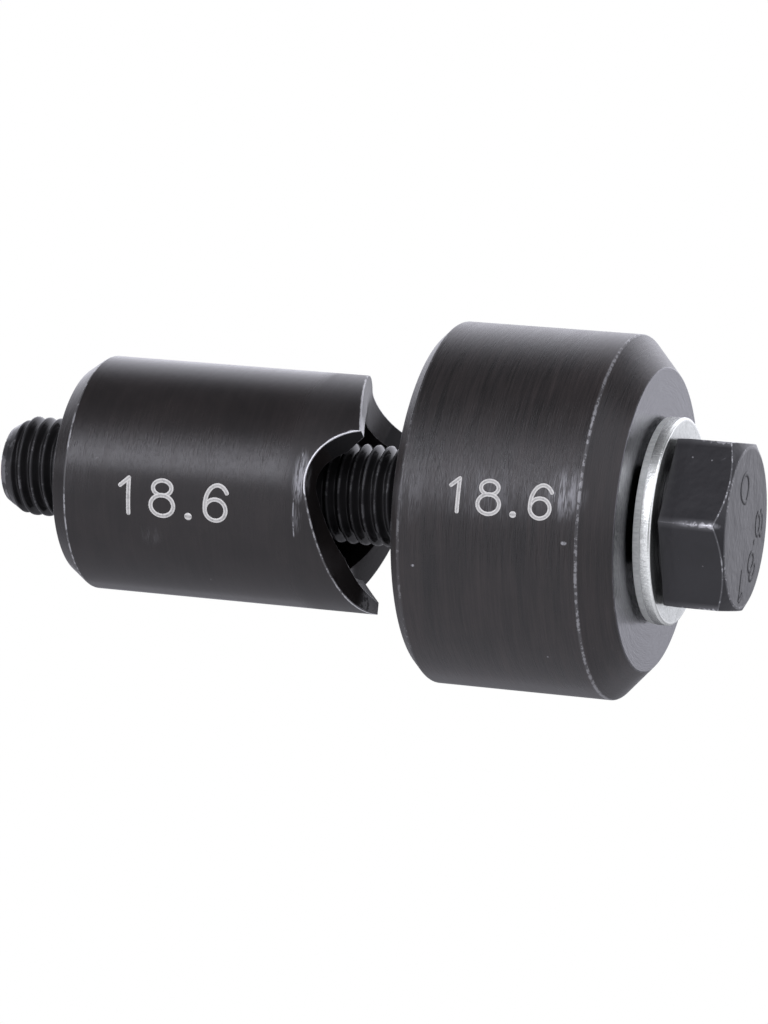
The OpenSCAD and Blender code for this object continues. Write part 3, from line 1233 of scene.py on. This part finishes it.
@dataclass
class DrawBolt:
    """Hexagon bolt with a right-hand thread over its whole shank, which starts a little inside the head."""

    across_flats: float = 12.8
    corner_rounding: float = 0.12
    corner_wear_length: float = 3.5
    corner_wear_width: float = 0.4
    head_height: float = 5.3
    flat_radius: float = 6.15
    chamfer_angle: float = 30.0
    seat_radius: float = 5.8
    seat_height: float = 0.3
    head_turn: float = 29.0
    trim_height: float = 1.1
    thread_radius: float = 3.95
    pitch: float = 1.0
    lead_in: float = -0.16
    thread_depth: float = 0.6
    tip_chamfer: float = 0.9
    tip_chamfer_length: float = 1.5
    steps_per_turn: int = 96
    shank_overlap: float = 0.2
    crest_wear: float = 0.13
    tip_wear: float = 0.25
    edge_fade: float = 0.05
    size: Envelope = field(default_factory=lambda: Envelope.of(Part.BOLT))
    marks: tuple[HeadMark, ...] = (
        HeadMark(
            SizeMark(((Numeral.EIGHT, 0.0), (Numeral.POINT, 1.35), (Numeral.EIGHT, 2.7)), 2.0, 0.2, 0.22),
            radius=2.9, angle=84.0,
        ),
        HeadMark(SizeMark(((Numeral.ONE, 0.0),), 2.2, 0.2, 0.22), radius=3.4, angle=183.0),
        HeadMark(SizeMark(((Numeral.ZERO, 0.0),), 2.2, 0.2, 0.22), radius=2.1, angle=337.0),
    )

    def hexagon(self) -> tuple[Array, Array, Array]:
        """Distance from the axis to the side of a hexagon with round corners.

        Within the corner's arc it is c cos(d) + sqrt(q^2 - c^2 sin(d)^2), with d the angle from the corner, q
        the rounding and c the distance of the arc's centre. On a flat it is half the width / cos(30 - d).

        Returns:
            Angles in radians, distances from the axis, and how near each angle is to a corner.
        """
        half, rounding, half_side = self.across_flats / 2, self.corner_rounding, np.radians(30.0)
        side_points, crowding = 45, 1.8
        step = np.linspace(-1.0, 1.0, side_points)[:-1]
        off = half_side * np.sign(step) * np.abs(step) ** crowding
        centre = (half - rounding) / np.cos(half_side)
        inside = np.maximum(rounding**2 - (centre * np.sin(off)) ** 2, 0.0)
        arc_end = np.arctan2(rounding * np.sin(half_side), centre + rounding * np.cos(half_side))
        flat = half / np.cos(half_side - np.abs(off))
        reach = np.where(np.abs(off) < arc_end, centre * np.cos(off) + np.sqrt(inside), flat)
        past_arc = reach * np.abs(np.sin(off)) - rounding / 2
        near = np.clip(1.0 - past_arc / self.corner_wear_width, 0.0, 1.0)
        corners = np.radians(self.head_turn + 60.0 * np.arange(6))
        return np.add.outer(corners, off).ravel(), np.tile(reach, 6), np.tile(near, 6)

    def build_head(self) -> Surface:
        """The head: a hexagon whose corners are cut by a cone at the end face, and a thin round seat.

        Returns:
            The surface, with its corners and chamfer lines as its edge mask.
        """
        angles, reach, near = self.hexagon()
        under = self.head_height - self.seat_height
        chamfer_z = (reach - self.flat_radius) * np.tan(np.radians(self.chamfer_angle))
        corners = [
            Corner(0.0, 0.0, 0.0),
            Corner(self.flat_radius, 0.0, 0.1, 0.5),
            Corner(reach, chamfer_z, 0.05, 0.55 + 0.3 * near),
            Corner(reach, under - self.trim_height, 0.05),
            Corner(reach - 0.06, under, 0.1, 0.1),
            Corner(self.seat_radius, under),
            Corner(self.seat_radius, self.head_height, 0.04),
            Corner(0.0, self.head_height, 0.0),
        ]
        rows, edge = round_profile(corners, len(angles), self.edge_fade, poles=True)
        below = np.clip(1.0 - (rows[..., 1] - chamfer_z) / self.corner_wear_length, 0.0, 1.0)
        on_side = (rows[..., 0] > reach - 0.1) & (rows[..., 1] > chamfer_z)
        edge = np.maximum(edge, np.where(on_side, near * (0.3 + 0.6 * below), 0.0))
        return swept(rows, angles, {Mask.EDGE: edge}, close_rows=False)

    def build_shank(self) -> Surface:
        """The thread: one turn of its profile carried along a helix, closed over the tip and inside the head.

        A point has the path length s = pitch * turns + its place in the profile, whose crest is flat over an
        eighth of the pitch. It runs straight across a face to the axis before the start and after the tip,
        climbs with s between them, and never lies outside the cone of the tip's chamfer. Points close to the
        start or the tip are moved onto it, so that no face there is a sliver.

        Returns:
            The surface, with the thread's crest and the tip as its edge mask.
        """
        crest, root = self.thread_radius, self.thread_radius - self.thread_depth
        flank = self.thread_depth * np.tan(np.radians(30.0))
        crest_end = self.pitch / 16
        root_start = crest_end + flank
        quarter = np.linspace(crest_end, root_start, 5)
        phase = np.concatenate([[-self.pitch / 2], -quarter[::-1], [0.0], quarter])
        root_rise, snap = 0.04, 0.045 * self.pitch
        heights = [crest, root + root_rise, root]
        profile = np.interp(np.abs(phase), [crest_end, root_start, self.pitch / 2], heights)
        start, tip, closing = self.head_height - self.shank_overlap, self.size.high, self.pitch
        first = start - closing - self.pitch + self.lead_in
        steps = int((tip - first + closing + 2 * self.pitch) / self.pitch * self.steps_per_turn)
        turns = np.arange(steps)[:, None] / self.steps_per_turn
        s = first + self.pitch * turns + phase[None, :]
        for break_z in (start, tip):
            s = np.where(np.abs(s - break_z) < snap, break_z, s)
        taper = self.tip_chamfer / self.tip_chamfer_length
        cone = crest - taper * np.maximum(s - (tip - self.tip_chamfer_length), 0.0)
        tip_radius = crest - self.tip_chamfer
        at_tip, at_start = (np.clip(1.0 - past / closing, 0.0, 1.0) for past in (s - tip, start - s))
        r = np.where(s > tip, tip_radius, np.minimum(profile, cone)) * (at_tip * at_start)
        points = revolve(np.stack([r, np.clip(s, start, tip)], axis=-1), 2 * np.pi * turns)
        across = len(phase)
        here = np.arange(steps - self.steps_per_turn - 1)[:, None] * across
        column = np.arange(across)[None, :]
        own = here + column
        beside = np.where(column + 1 < across, own + 1, here + self.steps_per_turn * across)
        faces = np.stack([own, beside, beside + across, own + across], axis=-1).reshape(-1, 4)
        on_crest = r > np.minimum(crest, cone) - 0.02
        edge = np.where(cone < root, self.tip_wear, np.where(on_crest, self.crest_wear, 0.0))
        return Surface(points, faces, {Mask.EDGE: edge.ravel()})

    def dress(self, effects: Effects, mark: bpy.types.Material) -> None:
        """Builds and finishes the head, the threaded shank and the numbers on the end face.

        Args:
            effects: the shared node groups.
            mark: the finish of the numbers.
        """
        head = BlackOxide(
            "bolt_head_black_oxide", (0.0058, 0.0056, 0.0062), roughness=0.36, specular=0.41,
            mark_spacing=0.6, mark_depth=0.03, mark_contrast=0.3,
            cloud=1.6, wear_level=0.6, wear_scale=3000.0, speck_share=0.5, hairline_level=0.62, dents=6.0,
            rubs=(Rub((-0.1, -7.35, 1.7), (0.35, 1.5, 2.4), 1.0),),
        )
        thread = BlackOxide(
            "bolt_thread_black_oxide", (0.0115, 0.0112, 0.0115), roughness=0.15, specular=0.2,
            mark_spacing=0.2, mark_depth=0.0006, mark_contrast=0.3,
            cloud=0.7, wear_level=0.15, wear_scale=900.0,
        )
        dress(self.build_head().piece("bolt_head_skin"), Part.BOLT, head.material(effects), True)
        dress(self.build_shank().piece("bolt_thread_skin"), Part.BOLT, thread.material(effects), False)
        # Painted shade: the grade numbers are almost flat, and their near-black finish stands in for the
        # shade of raised marks.
        marks = [each.mark.surface(on_end_face(each.radius, np.radians(each.angle))) for each in self.marks]
        dress(Surface.join(marks).piece("bolt_grade_mark"), Part.BOLT, mark, False)


@dataclass
class Washer:
    """Plain washer, punched from sheet: its rim is smooth beside the head and torn beside the die."""

    hole_radius: float = 4.25
    smooth_share: float = 0.6
    roll: float = 0.2
    tear: float = 0.06
    corner_fade: float = 0.04
    columns: int = 224
    size: Envelope = field(default_factory=lambda: Envelope.of(Part.WASHER))

    def build(self) -> Surface:
        """The washer as one turned profile, with the torn band of its rim as its edge mask.

        Returns:
            The surface.
        """
        size = self.size
        tear_z = size.low + self.smooth_share * (size.high - size.low)
        corners = [
            Corner(self.hole_radius, size.low, 0.15),
            Corner(size.radius, size.low, self.roll),
            Corner(size.radius, tear_z),
            Corner(size.radius - self.tear, size.high),
            Corner(self.hole_radius, size.high),
        ]
        rows, _wear = round_profile(corners, self.columns, self.corner_fade, poles=False)
        torn = (rows[..., 1] > tear_z) & (rows[..., 0] > size.radius - 2 * self.tear)
        return swept(rows, full_turn(self.columns), {Mask.EDGE: torn})

    def dress(self, effects: Effects) -> None:
        """Builds and finishes the washer.

        Args:
            effects: the shared node groups.
        """
        finish = BrightZinc("washer_bright_zinc", self.size.radius)
        dress(self.build().piece("washer_skin"), Part.WASHER, finish.material(effects), True)


# Studio


@dataclass(frozen=True)
class SoftBox:
    """A soft box by the angles round the tool's axis, in degrees, and the heights between which it shines.

    Each range has four places: the light starts, is full, is still full, and ends. The angle at which it ends
    falls by the slant for each unit of height above the middle.
    """

    angles: tuple[float, float, float, float]
    heights: tuple[float, float, float, float]
    middle: float
    slant: float
    strength: float

    def share(self, net: Net, angle: Socket, height: Socket) -> Socket:
        """How much of the soft box is seen in a direction.

        Args:
            net: the net of the world.
            angle: the direction's angle round the axis, in radians.
            height: the direction's part along the axis.

        Returns:
            A value from 0 to 1.
        """
        low, full, still, end = np.radians(self.angles)
        above = net.math("SUBTRACT", height, self.middle)
        slanted = net.total(angle, (above, np.radians(self.slant)))
        across = net.times(net.smooth(angle, low, full), net.smooth(slanted, end, still))
        low, full, still, end = self.heights
        return net.times(across, net.smooth(height, low, full), net.smooth(height, end, still))


@dataclass(frozen=True)
class Spot:
    """A round place of the surround: its direction, the cosines at which it starts and is full, its light."""

    way: tuple[float, float, float]
    reach: tuple[float, float]
    strength: float


@dataclass
class Studio:
    """White surround with a dim upper front, a pale floor, and the camera of the picture.

    surround gives the light that comes from each angle round the tool's axis: 0 is the camera's side, 90 is
    the top of the picture, and 180 is behind the tool. It is dimmer beyond the ends of the tool, most at the
    upper left and the upper right of the picture. A soft box stands at the camera's upper left. The spots are
    two lamps beyond the head and the dark camera itself. The camera looks across the tool's axis, turned from
    that towards the tip by its yaw, tilted down by its tilt and rolled to the left by its roll, in degrees.
    """

    surround: tuple[tuple[float, float], ...] = (
        (-180.0, 0.95), (-168.0, 0.34), (-156.0, 0.32), (-147.0, 0.56), (-138.0, 0.46), (-130.0, 0.52),
        (-111.0, 0.66), (-91.0, 0.78), (-62.0, 0.88), (-23.0, 1.05), (0.0, 1.25), (15.0, 1.1), (35.0, 0.8),
        (53.0, 0.5), (72.0, 0.32), (94.0, 0.26), (104.0, 0.33), (115.0, 0.7), (126.0, 1.25), (140.0, 1.55),
        (162.0, 1.55), (180.0, 0.95),
    )
    tint: Colour = (0.98, 0.98, 1.08)
    brightest: float = 1.6
    end_dimming: float = 0.35
    upper_left_dimming: float = 0.5
    upper_right_dimming: float = 0.72
    soft_box: SoftBox = SoftBox(
        angles=(-2.0, 17.0, 28.0, 42.0), heights=(0.2, 0.33, 0.44, 0.6),
        middle=0.345, slant=150.0, strength=6.0,
    )
    spots: tuple[Spot, ...] = (
        Spot((0.378, -0.075, -0.923), (0.86, 0.97), 1.25),
        Spot((0.71, -0.64, -0.27), (0.9, 0.97), 2.4),
        Spot((-0.25, -0.93, -0.27), (0.86, 0.95), 0.35),
    )
    floor_radius: float = 160.0
    floor_full_radius: float = 56.0
    floor_hole_radius: float = 0.5
    floor_rings: int = 12
    floor_columns: int = 72
    floor_z: float = -0.2
    floor_tone: Colour = (0.86, 0.86, 0.86)
    camera_place: tuple[float, float, float] = (0.0, -339.247, -86.696)
    camera_yaw: float = 18.852
    camera_tilt: float = 0.199
    camera_roll: float = 4.999
    focal_pixels: float = 4585.0
    picture_height: float = 1024.0

    def light(self) -> None:
        """Sets up the world: white to the camera, and the soft surround to every other ray."""
        world = bpy.data.worlds.new("studio")
        world.use_nodes = True
        world.node_tree.nodes.clear()
        bpy.context.scene.world = world
        net = Net(world.node_tree)
        way = net.node("ShaderNodeTexCoord").outputs["Generated"]
        x, y, z = net.parts(way)
        angle = net.math("ARCTAN2", x, net.times(y, -1.0))
        ramp = net.node("ShaderNodeValToRGB", {"Fac": net.math("MULTIPLY_ADD", angle, 0.5 / np.pi, 0.5)})
        stops = ramp.color_ramp.elements
        for index, (degrees, level) in enumerate(self.surround):
            place = degrees / 360.0 + 0.5
            stop = stops[index] if index < 2 else stops.new(place)
            stop.position = place
            stop.color = (*(level / self.brightest * share for share in self.tint), 1.0)
        lower_side = net.smooth(net.total(x, (z, 0.4)), -0.9, -0.3)
        far_end = net.times(net.math("POWER", z, 4.0), lower_side)
        upper_left = net.times(net.smooth(x, -0.1, 0.3), net.math("GREATER_THAN", z, 0.0))
        dimming = net.total(self.end_dimming, (upper_left, self.upper_left_dimming))
        upper_right = net.times(net.smooth(x, 0.2, 0.5), net.smooth(z, -0.3, -0.5))
        right = net.rest(net.times(upper_right, self.upper_right_dimming))
        level = net.times(net.rest(net.times(far_end, dimming)), right, self.brightest)
        rays = net.node("ShaderNodeLightPath").outputs
        seen = net.strongest(rays["Is Camera Ray"], rays["Is Transmission Ray"])
        layers = [(self.soft_box.share(net, angle, z), self.tint, self.soft_box.strength)]
        for spot in self.spots:
            share = net.smooth(net.vector("DOT_PRODUCT", way, spot.way), *spot.reach)
            layers.append((share, self.tint, spot.strength))
        layers.append((seen, (1.0, 1.0, 1.0), 1.0))
        light = net.node("ShaderNodeBackground", {"Color": ramp.outputs["Color"], "Strength": level})
        for share, tint, strength in layers:
            other = net.node("ShaderNodeBackground", {"Color": (*tint, 1.0), "Strength": strength})
            mix = net.node("ShaderNodeMixShader", {"Fac": share})
            for socket, each in zip(list(mix.inputs)[1:], (light, other)):
                net.feed(socket, each.outputs[0])
            light = mix
        net.feed(net.node("ShaderNodeOutputWorld").inputs["Surface"], light.outputs[0])

    def floor(self) -> None:
        """Lays a pale disc under the head that fades out at its rim and is clear from below."""
        rings = np.linspace(self.floor_radius, self.floor_hole_radius, self.floor_rings)
        angles = full_turn(self.floor_columns)
        profile = np.stack([rings, np.full_like(rings, self.floor_z)], axis=-1)
        rows = np.repeat(profile[:, None], len(angles), axis=1)
        floor = swept(rows, angles, {}, close_rows=False).piece("floor", closed=False)
        material, net, shader, spot = new_material("pale_floor")
        shader.inputs["Base Color"].default_value = (*self.floor_tone, 1.0)
        shader.inputs["Roughness"].default_value = 0.9
        radius = net.axis_distance(*net.parts(spot)[:2])
        inside = net.smooth(radius, self.floor_radius * MM, self.floor_full_radius * MM)
        front = net.rest(net.node("ShaderNodeNewGeometry").outputs["Backfacing"])
        net.feed(shader.inputs["Alpha"], net.times(inside, front))
        floor.data.materials.append(material)
        for ray in ("diffuse", "glossy", "transmission", "shadow"):
            setattr(floor, f"visible_{ray}", False)
        log.info("floor: stage")

    def camera(self) -> None:
        """Sets the camera to the picture's place, direction and field of view."""
        data = bpy.data.cameras.new("camera")
        data.lens = self.focal_pixels * data.sensor_width / self.picture_height
        yaw, tilt, roll = np.radians([self.camera_yaw, self.camera_tilt, self.camera_roll])
        back = np.array([np.sin(tilt), -np.cos(tilt) * np.cos(yaw), -np.cos(tilt) * np.sin(yaw)])
        level = np.array([0.0, np.sin(yaw), -np.cos(yaw)])
        upright = np.cross(back, level)
        right = np.cos(roll) * level + np.sin(roll) * upright
        matrix = np.eye(4)
        matrix[:3, :3] = np.stack([right, np.cross(back, right), back], axis=-1)
        matrix[:3, 3] = np.array(self.camera_place) * MM
        camera = bpy.data.objects.new("camera", data)
        camera.matrix_world = Matrix(matrix.tolist())
        bpy.context.scene.collection.objects.link(camera)
        bpy.context.scene.camera = camera

    def set_up(self) -> None:
        """Makes the light, the floor and the camera, with the plain view transform."""
        bpy.context.scene.view_settings.view_transform = "Standard"
        self.light()
        self.floor()
        self.camera()


def main() -> None:
    """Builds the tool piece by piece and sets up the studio."""
    logging.basicConfig(level=logging.INFO, format="%(message)s")
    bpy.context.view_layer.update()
    effects = Effects.build()
    etched = EtchedMark("etched_size", tone=(0.74, 0.73, 0.69), core=(0.32, 0.315, 0.3), roughness=0.5)
    # Painted shade: the grade numbers on the head are almost flat, near black with a lighter middle, standing
    # in for the shade along the sides of raised numbers.
    raised_grade_shade = EtchedMark("grade_mark_painted_shade", tone=(0.01, 0.01, 0.011), core=(0.03, 0.03, 0.032), roughness=0.35)
    size_finish, grade_finish = (mark.material() for mark in (etched, raised_grade_shade))
    Punch().dress(effects, size_finish)
    Die().dress(effects, size_finish)
    DrawBolt().dress(effects, grade_finish)
    Washer().dress(effects)
    Studio().set_up()


if __name__ == "__main__":
    main()
